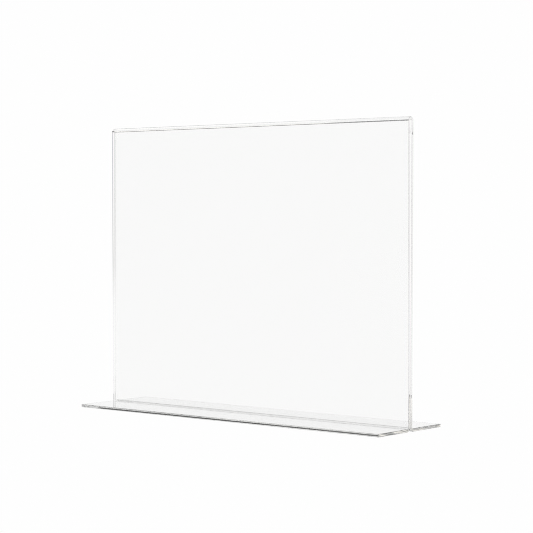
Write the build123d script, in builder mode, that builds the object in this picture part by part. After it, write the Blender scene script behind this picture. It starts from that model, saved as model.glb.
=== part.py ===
from build123d import *
import math
import os

# A clear acrylic counter stand: one flat sheet folded over at the top into two close walls,
# with each wall bent outwards at the bottom into a foot. The sheet is divided where its heat
# bends begin and end, so that every flat and every bend is a part of its own.
# X runs along the stand, Y from front to rear and Z up, from the counter under its middle.

# Driving dimensions, in millimetres.
sheet_width = 287.0        # along the stand, open at both ends
sheet_thickness = 2.36     # 0.093 in cast acrylic
insert_height = 215.9      # the letter sheet that stands between the walls, lying lengthwise
insert_clearance = 0.5     # above that sheet, under the fold
base_depth = 75.0          # front edge of one foot to rear edge of the other
fold_gap = 1.46            # between the walls where the fold begins
slot_gap = 0.3             # between the walls where they part into the feet
foot_bend_radius = 0.8     # of each foot's bend, on its upper side
edge_bevel = 0.2           # left on the cut edges by polishing

height = insert_height + insert_clearance + sheet_thickness
fold_inner_radius = fold_gap / 2
fold_outer_radius = fold_inner_radius + sheet_thickness
fold_centre = (0, height - fold_outer_radius)
bend_outer_radius = foot_bend_radius + sheet_thickness
bend_centre = (-slot_gap / 2 - bend_outer_radius, bend_outer_radius)

# Each wall leans out a little from the slot up to the fold. It is tangent to both bends, which
# curve opposite ways, so its lean follows from the line between their centres.
centre_rise = fold_centre[1] - bend_centre[1]
centre_run = fold_centre[0] - bend_centre[0]
middle_radii = (fold_inner_radius + fold_outer_radius + foot_bend_radius + bend_outer_radius) / 2
tangent_angle = math.asin(middle_radii / math.hypot(centre_rise, centre_run))
wall_lean = math.degrees(tangent_angle - math.atan2(centre_run, centre_rise))


def on_circle(centre, radius, angle):
    """The point at an angle on a circle, in the profile across the stand."""
    radians = math.radians(angle)
    return (centre[0] + radius * math.cos(radians), centre[1] + radius * math.sin(radians))


def bent_stretch(centre, inner_radius, start_angle, sweep_angle):
    """The section of a bend: a sector of a ring as thick as the sheet."""
    outer_radius = inner_radius + sheet_thickness
    with BuildSketch(mode=Mode.PRIVATE) as section:
        with BuildLine():
            CenterArc(centre, outer_radius, start_angle, sweep_angle)
            CenterArc(centre, inner_radius, start_angle, sweep_angle)
            for angle in (start_angle, start_angle + sweep_angle):
                Line(on_circle(centre, inner_radius, angle), on_circle(centre, outer_radius, angle))
        make_face()
    return section.sketch


def bevel_cut_edges(piece, joint_faces):
    """Bevel every edge except those of the faces where the sheet carries on."""
    chamfer(piece.edges() - joint_faces.edges(), edge_bevel)


def save(piece, node_name):
    """Label a finished piece and write it as a STEP file."""
    piece.part.label = node_name
    export_step(piece.part, f"parts/{node_name}.step")


os.makedirs("parts", exist_ok=True)

# The fold over the top: a little more than half a ring, because both walls lean outwards.
with BuildPart() as top_fold:
    with BuildSketch(Plane.YZ):
        add(bent_stretch(fold_centre, fold_inner_radius, -wall_lean, 180 + 2 * wall_lean))
    extrude(amount=sheet_width / 2, both=True)
    bevel_cut_edges(top_fold, top_fold.faces().sort_by(Axis.Z)[:2])
save(top_fold, "top_fold")

# The front wall: flat, from the fold down to the foot's bend.
with BuildPart() as front_wall:
    with BuildSketch(Plane.YZ):
        with BuildLine():
            Polyline(
                on_circle(fold_centre, fold_outer_radius, 180 + wall_lean),
                on_circle(fold_centre, fold_inner_radius, 180 + wall_lean),
                on_circle(bend_centre, bend_outer_radius, wall_lean),
                on_circle(bend_centre, foot_bend_radius, wall_lean),
                close=True,
            )
        make_face()
    extrude(amount=sheet_width / 2, both=True)
    wall_faces = front_wall.faces().sort_by(Axis.Z)
    bevel_cut_edges(front_wall, ShapeList([wall_faces[0], wall_faces[-1]]))

# The front bend: a little more than a quarter ring, from the wall out into the foot.
with BuildPart() as front_bend:
    with BuildSketch(Plane.YZ):
        add(bent_stretch(bend_centre, foot_bend_radius, -90, 90 + wall_lean))
    extrude(amount=sheet_width / 2, both=True)
    lowest_in_y = front_bend.faces().sort_by(Axis.Y)[0]
    highest = front_bend.faces().sort_by(Axis.Z)[-1]
    bevel_cut_edges(front_bend, ShapeList([lowest_in_y, highest]))

# The front foot: flat on the counter, from its bend out to its cut front edge.
with BuildPart() as front_foot:
    with BuildSketch(Plane.YZ):
        with Locations((-base_depth / 2, 0)):
            Rectangle(base_depth / 2 + bend_centre[0], sheet_thickness, align=Align.MIN)
    extrude(amount=sheet_width / 2, both=True)
    bevel_cut_edges(front_foot, front_foot.faces().sort_by(Axis.Y)[-1:])

# The rear half is the front half's mirror image.
half_pieces = {"wall": front_wall, "bend": front_bend, "foot": front_foot}
for piece_name, front_piece in half_pieces.items():
    save(front_piece, f"front_{piece_name}")
    with BuildPart() as rear_piece:
        mirror(front_piece.part, about=Plane.XZ)
    save(rear_piece, f"rear_{piece_name}")

print(f"height {height:.2f} mm, wall lean {wall_lean:.3f} degrees")
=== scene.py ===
import math

import bpy
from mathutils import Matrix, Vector


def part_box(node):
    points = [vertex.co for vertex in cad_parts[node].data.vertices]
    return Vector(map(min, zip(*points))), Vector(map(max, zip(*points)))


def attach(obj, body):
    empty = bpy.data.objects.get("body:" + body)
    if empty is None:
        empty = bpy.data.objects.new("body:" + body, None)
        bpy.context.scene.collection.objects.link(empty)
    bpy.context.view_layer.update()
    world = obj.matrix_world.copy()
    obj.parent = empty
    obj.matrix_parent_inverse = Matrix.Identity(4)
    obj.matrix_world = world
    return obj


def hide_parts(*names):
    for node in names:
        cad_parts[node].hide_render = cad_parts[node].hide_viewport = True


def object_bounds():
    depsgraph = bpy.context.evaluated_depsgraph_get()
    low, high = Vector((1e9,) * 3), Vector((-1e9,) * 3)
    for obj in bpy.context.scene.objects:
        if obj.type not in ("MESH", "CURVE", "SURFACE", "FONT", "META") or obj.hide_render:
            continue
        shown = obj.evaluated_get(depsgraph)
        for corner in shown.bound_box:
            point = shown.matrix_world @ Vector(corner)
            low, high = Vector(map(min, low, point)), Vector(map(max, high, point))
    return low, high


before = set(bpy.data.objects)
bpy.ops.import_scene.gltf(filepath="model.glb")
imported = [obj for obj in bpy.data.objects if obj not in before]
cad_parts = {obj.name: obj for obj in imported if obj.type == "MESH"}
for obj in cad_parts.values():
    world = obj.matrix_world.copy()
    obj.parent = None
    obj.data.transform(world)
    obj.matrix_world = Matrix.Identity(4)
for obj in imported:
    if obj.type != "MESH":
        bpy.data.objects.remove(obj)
cad_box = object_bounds()

# --------------------------------------------------------------------------- sizes
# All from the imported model, in metres. X runs along the stand, Y from front to rear.
low, high = (Vector(corner) for corner in cad_box)
fold_high = Vector(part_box("top_fold")[1])
bend_low, bend_high = (Vector(corner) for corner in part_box("front_bend"))
foot_low, foot_high = (Vector(corner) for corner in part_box("front_foot"))

SHEET_WIDTH = high.x - low.x
SHEET_THICKNESS = foot_high.z - foot_low.z
HALF_SHEET = SHEET_THICKNESS / 2
FOLD_RADIUS = fold_high.y - HALF_SHEET                        # of the sheet's middle line
BEND_RADIUS = bend_high.y - bend_low.y - HALF_SHEET           # the same, at each foot
FOLD_CENTRE = Vector((0, high.z - FOLD_RADIUS - HALF_SHEET))  # in (Y, Z)
BEND_CENTRE = Vector((bend_low.y, BEND_RADIUS + HALF_SHEET))
LINE_CORNERS = 6                                              # of the middle line, its ends included
BEND_STEPS = 48
EDGE_BEVEL = 0.0003
EDGE_STEPS = 4
EDGE_ANGLE = math.radians(40)                                 # sharper turns than this are cut edges
FLATS_WEIGHT = 100                                            # keeps flat faces flat beside the bevels

# --------------------------------------------------------------------------- view and light
AZIMUTH = math.radians(39.74)
ELEVATION = math.radians(1.815)
CAMERA_DISTANCE = 4.4667 * SHEET_WIDTH
CAMERA_TARGET = Vector((0.0479 * SHEET_WIDTH, 0, 0.3917 * SHEET_WIDTH))
LENS = 117.05
PALE_SIDES = (math.radians(128), math.radians(230))           # world directions, from +X round to +Y
PALE_FADE_START = math.radians(20)
PALE_FADE_END = math.radians(85)
PALE = 0.992
DIM = 0.66
BAND_TOP = math.radians(11)
CEILING_START = math.radians(16)
CEILING = 0.02
FLOOR_REACH = 20
FLOOR_GAP = 0.0001
# Painted pool of light on the floor: its glow fades from pale near the stand between these distances, in
# metres.
FLOOR_FADE_START = 0.5
FLOOR_FADE_END = 4.0
# Painted shadow on the floor under the stand: how soft its rim is and how dark it is.
UNDER_FADE = 0.004
UNDER_SHADE = 0.84
LIGHT_DISTANCE = 3.0
WARM_WHITE = (1.0, 0.97, 0.91)
EDGE_BOUNCES = 256                                            # the long paths inside the sheet
FILTER_WIDTH = 1.0

# --------------------------------------------------------------------------- acrylic
ACRYLIC_IOR = 1.49
CLEAR_TONE = (0.977, 0.978, 0.977)
CLEAR_TONE_WARM = (0.974, 0.974, 0.972)
# Painted shade on the cut edges, in place of the darkness that they get from their surroundings and from
# light held inside the sheet.
EDGE_PAINTED_SHADE = (0.9, 0.9, 0.89)
DUST_TONE = (0.8, 0.79, 0.77)
STROKE_STRETCH = 30
TONE_CELLS = 9.0                                              # noise cells in a metre, here and below
SCRATCH_TURNS = (14, -52)                                     # degrees
SCRATCH_SOFTNESS = 0.05
SCRATCH_PATCH_CELLS = 28.0
SCRATCH_PATCH_RANGE = (0.42, 0.62)
SPECK_RANGE = (0.74, 0.8)
DRIFT_CELLS = 45.0
DRIFT_RANGE = (0.4, 0.65)
FACING_UP_RANGE = (0.2, 0.9)
EDGE_MASK_DEPTH = EDGE_BEVEL * 1.5
RIPPLE_CELLS = 120.0
RIPPLE_SQUEEZE = (0.25, 1, 1)                                 # longer along the bends
SCRATCH_ROUGHNESS = 0.02
DUST_ROUGHNESS = 0.35
EDGE_ROUGHNESS = 0.002
SCRATCH_DEPTH = 0.0000001
RIPPLE_HEIGHT = 0.000003


def wall_lean():
    """How far each wall leans out from the slot up to the fold, as it touches both bends."""
    run, rise = FOLD_CENTRE - BEND_CENTRE
    return math.asin((FOLD_RADIUS + BEND_RADIUS) / math.hypot(run, rise)) - math.atan2(run, rise)


def middle_line():
    """The corners of the sheet's middle line in (Y, Z), before its bends are rounded."""
    corner = math.tan((math.pi / 2 + wall_lean()) / 2)
    foot_tip = Vector((low.y, HALF_SHEET))
    foot_corner = Vector((BEND_CENTRE.x + BEND_RADIUS * corner, HALF_SHEET))
    fold_corner = Vector((-FOLD_RADIUS * corner, high.z - HALF_SHEET))
    front = [foot_tip, foot_corner, fold_corner]
    rear = [Vector((-point.x, point.y)) for point in reversed(front)]
    return front + rear


def add_math(tree, operation, first, second=None, third=None):
    """A Math node whose terms are numbers or other nodes' outputs; gives its result."""
    node = tree.nodes.new("ShaderNodeMath")
    node.operation = operation
    for socket, term in zip(node.inputs, (first, second, third)):
        if isinstance(term, (int, float)):
            socket.default_value = term
        elif term is not None:
            tree.links.new(term, socket)
    return node.outputs[0]


def add_fade(tree, value, start, end, at_start=0.0, at_end=1.0):
    """A smooth change from one level to another as the value goes from start to end."""
    node = tree.nodes.new("ShaderNodeMapRange")
    node.interpolation_type = "SMOOTHSTEP"
    for name, term in (
        ("Value", value),
        ("From Min", start),
        ("From Max", end),
        ("To Min", at_start),
        ("To Max", at_end),
    ):
        if isinstance(term, (int, float)):
            node.inputs[name].default_value = term
        else:
            tree.links.new(term, node.inputs[name])
    return node.outputs["Result"]


def add_noise(tree, vector, scale, detail=2.0):
    """A noise pattern of so many cells in a metre."""
    node = tree.nodes.new("ShaderNodeTexNoise")
    node.inputs["Detail"].default_value = detail
    tree.links.new(vector, node.inputs["Vector"])
    if isinstance(scale, (int, float)):
        node.inputs["Scale"].default_value = scale
    else:
        tree.links.new(scale, node.inputs["Scale"])
    return node.outputs["Fac"]


def new_shader_group(name, inputs, outputs):
    """An empty shader node group with named sockets; gives it, its inputs and its outputs."""
    group = bpy.data.node_groups.new(name, "ShaderNodeTree")
    for label, kind, value in inputs:
        socket = group.interface.new_socket(label, in_out="INPUT", socket_type=kind)
        if value is not None:
            socket.default_value = value
    for label, kind in outputs:
        group.interface.new_socket(label, in_out="OUTPUT", socket_type=kind)
    given = group.nodes.new("NodeGroupInput")
    result = group.nodes.new("NodeGroupOutput")
    return group, given.outputs, result.inputs


def place_group(tree, group, **values):
    """A shader node group in a material, with its own values; underscores stand for spaces."""
    node = tree.nodes.new("ShaderNodeGroup")
    node.node_tree = group
    for name, term in values.items():
        socket = node.inputs[name.replace("_", " ")]
        if isinstance(term, (int, float)):
            socket.default_value = term
        else:
            tree.links.new(term, socket)
    return node.outputs


def hairline_scratches():
    """Fine wiping marks in two directions, broken into short strokes."""
    group, given, result = new_shader_group(
        "hairline_scratches",
        [
            ("Vector", "NodeSocketVector", None),
            ("Strokes per Metre", "NodeSocketFloat", 900.0),
            ("Rarity", "NodeSocketFloat", 0.72),
        ],
        [("Mask", "NodeSocketFloat")],
    )
    layers = []
    for turn in SCRATCH_TURNS:
        along = group.nodes.new("ShaderNodeMapping")
        along.vector_type = "TEXTURE"
        along.inputs["Rotation"].default_value = (0, 0, math.radians(turn))
        along.inputs["Scale"].default_value = (STROKE_STRETCH, 1, 1)
        group.links.new(given["Vector"], along.inputs["Vector"])
        stroke = add_noise(group, along.outputs[0], given["Strokes per Metre"])
        softer = add_math(group, "ADD", given["Rarity"], SCRATCH_SOFTNESS)
        layers.append(add_fade(group, stroke, given["Rarity"], softer))
    cells = add_noise(group, given["Vector"], SCRATCH_PATCH_CELLS)
    patches = add_fade(group, cells, *SCRATCH_PATCH_RANGE)
    strokes = add_math(group, "MAXIMUM", *layers)
    group.links.new(add_math(group, "MULTIPLY", strokes, patches), result["Mask"])
    return group


def settled_dust():
    """Small specks, more of them on what faces up."""
    group, given, result = new_shader_group(
        "settled_dust",
        [
            ("Vector", "NodeSocketVector", None),
            ("Normal", "NodeSocketVector", None),
            ("Specks per Metre", "NodeSocketFloat", 1400.0),
            ("On Walls", "NodeSocketFloat", 0.03),
        ],
        [("Mask", "NodeSocketFloat")],
    )
    grains = add_noise(group, given["Vector"], given["Specks per Metre"], 0.0)
    speck = add_fade(group, grains, *SPECK_RANGE)
    drift = add_fade(group, add_noise(group, given["Vector"], DRIFT_CELLS), *DRIFT_RANGE)
    split = group.nodes.new("ShaderNodeSeparateXYZ")
    group.links.new(given["Normal"], split.inputs[0])
    facing_up = add_fade(group, split.outputs["Z"], *FACING_UP_RANGE, given["On Walls"], 1.0)
    specks = add_math(group, "MULTIPLY", speck, drift)
    group.links.new(add_math(group, "MULTIPLY", specks, facing_up), result["Mask"])
    return group


def polished_edge_and_painted_shade():
    """Where the cut edges are, for their polish and for the painted shade laid on them, and the faint
    lines that the saw and the flame left along them.
    """
    group, given, result = new_shader_group(
        "polished_edge_and_painted_shade",
        [
            ("Vector", "NodeSocketVector", None),
            ("Half Width", "NodeSocketFloat", 0.1),
            ("Half Depth", "NodeSocketFloat", 0.03),
            ("Lines per Metre", "NodeSocketFloat", 2600.0),
        ],
        [("Mask", "NodeSocketFloat"), ("Lines", "NodeSocketFloat")],
    )
    split = group.nodes.new("ShaderNodeSeparateXYZ")
    group.links.new(given["Vector"], split.inputs[0])
    masks = []
    for axis, half in (("X", "Half Width"), ("Y", "Half Depth")):
        outward = add_math(group, "ABSOLUTE", split.outputs[axis])
        inset = add_math(group, "SUBTRACT", given[half], outward)
        masks.append(add_fade(group, inset, 0.0, EDGE_MASK_DEPTH, 1.0, 0.0))
    mask = add_math(group, "MAXIMUM", *masks)
    group.links.new(mask, result["Mask"])
    lines = add_noise(group, given["Vector"], given["Lines per Metre"])
    group.links.new(add_math(group, "MULTIPLY", lines, mask), result["Lines"])
    return group


def heat_ripple():
    """The slight unevenness that the heating wire leaves beside each bend."""
    group, given, result = new_shader_group(
        "heat_ripple",
        [
            ("Vector", "NodeSocketVector", None),
            ("Fold Height", "NodeSocketFloat", 0.2),
            ("Reach", "NodeSocketFloat", 0.008),
        ],
        [("Mask", "NodeSocketFloat"), ("Ripple", "NodeSocketFloat")],
    )
    split = group.nodes.new("ShaderNodeSeparateXYZ")
    group.links.new(given["Vector"], split.inputs[0])
    below_fold = add_math(group, "SUBTRACT", given["Fold Height"], split.outputs["Z"])
    near_fold = add_fade(group, below_fold, 0.0, given["Reach"], 1.0, 0.0)
    beside_slot = add_math(group, "ABSOLUTE", split.outputs["Y"])
    from_bend = add_math(group, "ADD", beside_slot, add_math(group, "ABSOLUTE", split.outputs["Z"]))
    twice_reach = add_math(group, "MULTIPLY", given["Reach"], 2.0)
    near_bend = add_fade(group, from_bend, given["Reach"], twice_reach, 1.0, 0.0)
    mask = add_math(group, "MAXIMUM", near_fold, near_bend)
    stretched = group.nodes.new("ShaderNodeMapping")
    stretched.inputs["Scale"].default_value = RIPPLE_SQUEEZE
    group.links.new(given["Vector"], stretched.inputs["Vector"])
    ripple = add_noise(group, stretched.outputs[0], RIPPLE_CELLS, 0.0)
    group.links.new(mask, result["Mask"])
    group.links.new(add_math(group, "MULTIPLY", ripple, mask), result["Ripple"])
    return group


def clear_acrylic():
    """Clear acrylic: hairline marks, a little dust, uneven bends and flame-polished edges, greyed by
    painted shade.
    """
    material = bpy.data.materials.new("clear_acrylic")
    material.use_nodes = True
    tree = material.node_tree
    nodes, links = tree.nodes, tree.links
    shader = nodes["Principled BSDF"]
    shader.inputs["IOR"].default_value = ACRYLIC_IOR
    shader.inputs["Transmission Weight"].default_value = 1.0

    where = nodes.new("ShaderNodeTexCoord").outputs["Object"]
    facing = nodes.new("ShaderNodeNewGeometry").outputs["Normal"]
    # Distance along the sheet, over the bends: X, and Y + Z in place of both of the others.
    split = nodes.new("ShaderNodeSeparateXYZ")
    links.new(where, split.inputs[0])
    along_sheet = nodes.new("ShaderNodeCombineXYZ")
    links.new(split.outputs["X"], along_sheet.inputs["X"])
    links.new(add_math(tree, "ADD", split.outputs["Y"], split.outputs["Z"]), along_sheet.inputs["Y"])

    scratches = place_group(tree, hairline_scratches(), Vector=along_sheet.outputs[0])
    dust = place_group(tree, settled_dust(), Vector=where, Normal=facing)
    edge = place_group(
        tree,
        polished_edge_and_painted_shade(),
        Vector=where,
        Half_Width=SHEET_WIDTH / 2,
        Half_Depth=-low.y,
    )
    ripple = place_group(tree, heat_ripple(), Vector=where, Fold_Height=high.z)

    tone = nodes.new("ShaderNodeMix")
    tone.data_type = "RGBA"
    tone.inputs["A"].default_value = (*CLEAR_TONE, 1)
    tone.inputs["B"].default_value = (*CLEAR_TONE_WARM, 1)
    links.new(add_noise(tree, where, TONE_CELLS), tone.inputs["Factor"])
    dusty = nodes.new("ShaderNodeMix")
    dusty.data_type = "RGBA"
    dusty.inputs["B"].default_value = (*DUST_TONE, 1)
    links.new(tone.outputs["Result"], dusty.inputs["A"])
    links.new(dust["Mask"], dusty.inputs["Factor"])
    # Painted shade: the cut edges are greyed, in place of the darkness that they get from their
    # surroundings and from light held inside the sheet.
    painted_shade_on_edges = nodes.new("ShaderNodeMix")
    painted_shade_on_edges.data_type = "RGBA"
    painted_shade_on_edges.inputs["B"].default_value = (*EDGE_PAINTED_SHADE, 1)
    links.new(dusty.outputs["Result"], painted_shade_on_edges.inputs["A"])
    links.new(edge["Mask"], painted_shade_on_edges.inputs["Factor"])
    links.new(painted_shade_on_edges.outputs["Result"], shader.inputs["Base Color"])

    marks = add_math(tree, "MULTIPLY", scratches["Mask"], SCRATCH_ROUGHNESS)
    specks = add_math(tree, "MULTIPLY", dust["Mask"], DUST_ROUGHNESS)
    polish = add_math(tree, "MULTIPLY", edge["Mask"], EDGE_ROUGHNESS)
    roughness = add_math(tree, "ADD", add_math(tree, "MAXIMUM", marks, polish), specks)
    links.new(roughness, shader.inputs["Roughness"])

    uneven = nodes.new("ShaderNodeBump")
    uneven.inputs["Distance"].default_value = RIPPLE_HEIGHT
    links.new(ripple["Ripple"], uneven.inputs["Height"])
    scored = nodes.new("ShaderNodeBump")
    scored.inputs["Distance"].default_value = SCRATCH_DEPTH
    links.new(add_math(tree, "ADD", scratches["Mask"], edge["Lines"]), scored.inputs["Height"])
    links.new(uneven.outputs["Normal"], scored.inputs["Normal"])
    links.new(scored.outputs["Normal"], shader.inputs["Normal"])
    return material


def bent_sheet_tree():
    """Geometry nodes that round the middle line's corners and sweep the sheet's section along it."""
    tree = bpy.data.node_groups.new("bent_sheet", "GeometryNodeTree")
    for name, kind in (
        ("Middle Line", "NodeSocketGeometry"),
        ("Sheet Width", "NodeSocketFloat"),
        ("Sheet Thickness", "NodeSocketFloat"),
        ("Fold Radius", "NodeSocketFloat"),
        ("Bend Radius", "NodeSocketFloat"),
        ("Bend Steps", "NodeSocketInt"),
        ("Material", "NodeSocketMaterial"),
    ):
        tree.interface.new_socket(name, in_out="INPUT", socket_type=kind)
    tree.interface.new_socket("Sheet", in_out="OUTPUT", socket_type="NodeSocketGeometry")
    nodes, links = tree.nodes, tree.links
    given = nodes.new("NodeGroupInput")
    result = nodes.new("NodeGroupOutput")

    # The fold's two corners take one radius and the feet's corners the other.
    index = nodes.new("GeometryNodeInputIndex")
    radius = nodes.new("GeometryNodeIndexSwitch")
    radius.data_type = "FLOAT"
    while len(radius.index_switch_items) < LINE_CORNERS:
        radius.index_switch_items.new()
    links.new(index.outputs[0], radius.inputs["Index"])
    for corner, name in ((1, "Bend Radius"), (2, "Fold Radius"), (3, "Fold Radius"), (4, "Bend Radius")):
        links.new(given.outputs[name], radius.inputs[str(corner)])
    fillet = nodes.new("GeometryNodeFilletCurve")
    fillet.mode = "POLY"
    links.new(given.outputs["Middle Line"], fillet.inputs["Curve"])
    links.new(given.outputs["Bend Steps"], fillet.inputs["Count"])
    links.new(radius.outputs[0], fillet.inputs["Radius"])

    section = nodes.new("GeometryNodeCurvePrimitiveQuadrilateral")
    links.new(given.outputs["Sheet Width"], section.inputs["Width"])
    links.new(given.outputs["Sheet Thickness"], section.inputs["Height"])
    sweep = nodes.new("GeometryNodeCurveToMesh")
    links.new(fillet.outputs["Curve"], sweep.inputs["Curve"])
    links.new(section.outputs["Curve"], sweep.inputs["Profile Curve"])
    sweep.inputs["Fill Caps"].default_value = True

    realize = nodes.new("GeometryNodeRealizeInstances")
    coat = nodes.new("GeometryNodeSetMaterial")
    links.new(sweep.outputs["Mesh"], realize.inputs[0])
    links.new(realize.outputs[0], coat.inputs["Geometry"])
    links.new(given.outputs["Material"], coat.inputs["Material"])
    links.new(coat.outputs[0], result.inputs["Sheet"])
    return tree


def bent_sheet(material):
    """The whole sheet: its middle line, rounded and swept by Geometry Nodes, with bevelled edges."""
    line = bpy.data.curves.new("middle_line", "CURVE")
    line.dimensions = "3D"
    spline = line.splines.new("POLY")
    corners = middle_line()
    spline.points.add(len(corners) - 1)
    for point, corner in zip(spline.points, corners):
        point.co = (0, corner.x, corner.y, 1)
    source = bpy.data.objects.new("middle_line", line)
    bpy.context.scene.collection.objects.link(source)

    sweep = source.modifiers.new("bent_sheet", "NODES")
    sweep.node_group = bent_sheet_tree()
    values = {
        "Sheet Width": SHEET_WIDTH,
        "Sheet Thickness": SHEET_THICKNESS,
        "Fold Radius": FOLD_RADIUS,
        "Bend Radius": BEND_RADIUS,
        "Bend Steps": BEND_STEPS,
        "Material": material,
    }
    for item in sweep.node_group.interface.items_tree:
        if item.name in values:
            sweep[item.identifier] = values[item.name]
    evaluated = source.evaluated_get(bpy.context.evaluated_depsgraph_get())
    mesh = bpy.data.meshes.new_from_object(evaluated)
    bpy.data.objects.remove(source)
    mesh.shade_smooth()
    piece = bpy.data.objects.new("bent_acrylic_sheet", mesh)
    bpy.context.scene.collection.objects.link(piece)
    bevel = piece.modifiers.new("polished_edges", "BEVEL")
    bevel.width = EDGE_BEVEL
    bevel.segments = EDGE_STEPS
    bevel.limit_method = "ANGLE"
    bevel.angle_limit = EDGE_ANGLE
    bevel.use_clamp_overlap = False
    flats = piece.modifiers.new("flats_stay_flat", "WEIGHTED_NORMAL")
    flats.weight = FLATS_WEIGHT
    finished = piece.evaluated_get(bpy.context.evaluated_depsgraph_get())
    piece.data = bpy.data.meshes.new_from_object(finished)
    piece.modifiers.clear()
    return piece


def place_camera():
    """A long lens, low and to the right of the stand's front."""
    camera = bpy.data.objects.new("camera", bpy.data.cameras.new("camera"))
    camera.data.lens = LENS
    forward = Vector((
        -math.sin(AZIMUTH) * math.cos(ELEVATION),
        math.cos(AZIMUTH) * math.cos(ELEVATION),
        -math.sin(ELEVATION),
    ))
    camera.location = CAMERA_TARGET - forward * CAMERA_DISTANCE
    camera.rotation_euler = forward.to_track_quat("-Z", "Y").to_euler()
    bpy.context.scene.collection.objects.link(camera)
    bpy.context.scene.camera = camera


def pale_sides():
    """The studio's brightness near the horizon: palest behind the stand and past its left front."""
    group, given, result = new_shader_group(
        "pale_sides",
        [("Direction", "NodeSocketVector", None)],
        [("Brightness", "NodeSocketFloat")],
    )
    nodes, links = group.nodes, group.links
    level = nodes.new("ShaderNodeVectorMath")
    level.operation = "MULTIPLY"
    level.inputs[1].default_value = (1, 1, 0)
    unit = nodes.new("ShaderNodeVectorMath")
    unit.operation = "NORMALIZE"
    links.new(given["Direction"], level.inputs[0])
    links.new(level.outputs[0], unit.inputs[0])
    sides = []
    for azimuth in PALE_SIDES:
        towards = nodes.new("ShaderNodeVectorMath")
        towards.operation = "DOT_PRODUCT"
        towards.inputs[1].default_value = (math.cos(azimuth), math.sin(azimuth), 0)
        links.new(unit.outputs[0], towards.inputs[0])
        sides.append(add_fade(
            group, towards.outputs["Value"], math.cos(PALE_FADE_END), math.cos(PALE_FADE_START)
        ))
    palest = add_math(group, "MAXIMUM", *sides)
    links.new(add_fade(group, palest, 0.0, 1.0, DIM, PALE), result["Brightness"])
    return group


def studio_room(sides):
    """The world: a pale band round the horizon under a dark ceiling."""
    world = bpy.data.worlds.new("studio")
    bpy.context.scene.world = world
    world.use_nodes = True
    tree = world.node_tree
    where = tree.nodes.new("ShaderNodeTexCoord").outputs["Generated"]
    split = tree.nodes.new("ShaderNodeSeparateXYZ")
    tree.links.new(where, split.inputs[0])
    side = place_group(tree, sides, Direction=where)["Brightness"]
    ceiling = add_fade(
        tree, split.outputs["Z"], math.sin(BAND_TOP), math.sin(CEILING_START), 1.0, CEILING
    )
    background = tree.nodes["Background"]
    background.inputs["Color"].default_value = (1, 1, 1, 1)
    tree.links.new(add_math(tree, "MULTIPLY", side, ceiling), background.inputs["Strength"])


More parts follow.
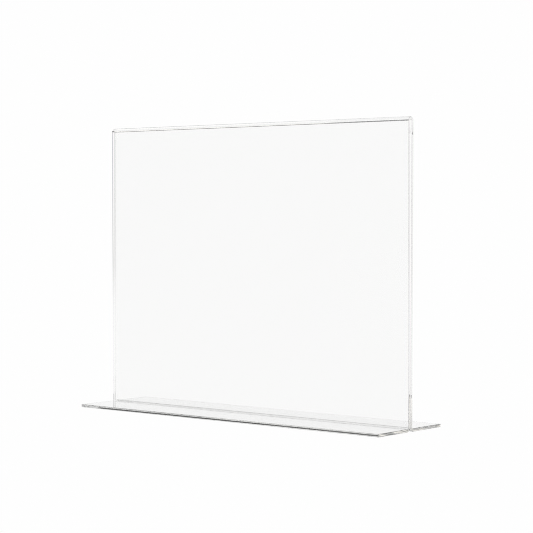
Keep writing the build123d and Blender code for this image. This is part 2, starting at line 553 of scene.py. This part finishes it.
def pale_floor(sides):
    """A pale floor that glows rather than being lit: a painted pool of light that fades out to meet the
    horizon, and a painted shadow that makes it a little darker under the stand.
    """
    corners = [(x * FLOOR_REACH, y * FLOOR_REACH, 0) for x, y in ((-1, -1), (1, -1), (1, 1), (-1, 1))]
    mesh = bpy.data.meshes.new("floor")
    mesh.from_pydata(corners, [], [(0, 1, 2, 3)])
    floor = bpy.data.objects.new("floor", mesh)
    floor.location.z = -FLOOR_GAP
    material = bpy.data.materials.new("pale_floor")
    material.use_nodes = True
    tree = material.node_tree
    shader = tree.nodes["Principled BSDF"]
    shader.inputs["Base Color"].default_value = (0, 0, 0, 1)
    shader.inputs["Roughness"].default_value = 1
    shader.inputs["Specular IOR Level"].default_value = 0
    shader.inputs["Emission Color"].default_value = (1, 1, 1, 1)

    where = tree.nodes.new("ShaderNodeTexCoord").outputs["Object"]
    split = tree.nodes.new("ShaderNodeSeparateXYZ")
    tree.links.new(where, split.inputs[0])
    distance = tree.nodes.new("ShaderNodeVectorMath")
    distance.operation = "LENGTH"
    tree.links.new(where, distance.inputs[0])
    side = place_group(tree, sides, Direction=where)["Brightness"]
    # Painted pool of light: the floor glows palest near the stand and fades to the horizon's brightness
    # further out.
    far = add_fade(tree, distance.outputs["Value"], FLOOR_FADE_START, FLOOR_FADE_END)
    pale_near = add_math(tree, "SUBTRACT", PALE, side)
    open_floor = add_math(tree, "MULTIPLY_ADD", pale_near, add_math(tree, "SUBTRACT", 1.0, far), side)

    # Painted shadow: the floor's glow is dimmed over the stand's footprint, in place of the shade that
    # the stand casts.
    across = add_math(tree, "ABSOLUTE", split.outputs["X"])
    deep = add_math(tree, "ABSOLUTE", split.outputs["Y"])
    under_x = add_fade(tree, across, high.x - UNDER_FADE, high.x, 1.0, 0.0)
    under_y = add_fade(tree, deep, high.y - UNDER_FADE, high.y, 1.0, 0.0)
    under = add_math(tree, "MULTIPLY", under_x, under_y)
    shade = add_fade(tree, under, 0.0, 1.0, 1.0, UNDER_SHADE)
    tree.links.new(add_math(tree, "MULTIPLY", open_floor, shade), shader.inputs["Emission Strength"])
    mesh.materials.append(material)
    bpy.context.scene.collection.objects.link(floor)


def soft_box(name, azimuth, elevation, across, upright, brightness, colour=(1, 1, 1)):
    """A rectangular light that faces the stand. All four angles are in degrees: its direction, then
    how far it spreads across and upright."""
    azimuth, elevation = math.radians(azimuth), math.radians(elevation)
    outward = Vector((
        math.cos(elevation) * math.cos(azimuth),
        math.cos(elevation) * math.sin(azimuth),
        math.sin(elevation),
    ))
    lamp = bpy.data.lights.new(name, "AREA")
    lamp.shape = "RECTANGLE"
    lamp.size = 2 * LIGHT_DISTANCE * math.tan(math.radians(across) / 2)
    lamp.size_y = 2 * LIGHT_DISTANCE * math.tan(math.radians(upright) / 2)
    lamp.color = colour
    lamp.energy = brightness * math.pi * lamp.size * lamp.size_y
    light = bpy.data.objects.new(name, lamp)
    light.location = CAMERA_TARGET + outward * LIGHT_DISTANCE
    light.rotation_euler = outward.to_track_quat("Z", "Y").to_euler()
    bpy.context.scene.collection.objects.link(light)


def studio():
    """The room, the floor, the lights and the render settings that clear acrylic needs."""
    sides = pale_sides()
    studio_room(sides)
    pale_floor(sides)
    soft_box("rear_left_box", azimuth=142, elevation=42.5, across=34, upright=15, brightness=0.9)
    soft_box(
        "left_box",
        azimuth=180,
        elevation=45,
        across=22,
        upright=19,
        brightness=1.2,
        colour=WARM_WHITE,
    )
    soft_box("front_left_box", azimuth=232, elevation=32, across=13, upright=20, brightness=1.5)
    soft_box("rear_right_box", azimuth=32, elevation=26, across=24, upright=28, brightness=0.75)

    scene = bpy.context.scene
    scene.view_settings.view_transform = "Standard"
    scene.cycles.max_bounces = EDGE_BOUNCES
    scene.cycles.transmission_bounces = EDGE_BOUNCES
    scene.cycles.glossy_bounces = EDGE_BOUNCES
    scene.cycles.filter_width = FILTER_WIDTH
    scene.cycles.use_denoising = True


place_camera()
studio()
acrylic = clear_acrylic()
sheet = bent_sheet(acrylic)
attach(sheet, "root")
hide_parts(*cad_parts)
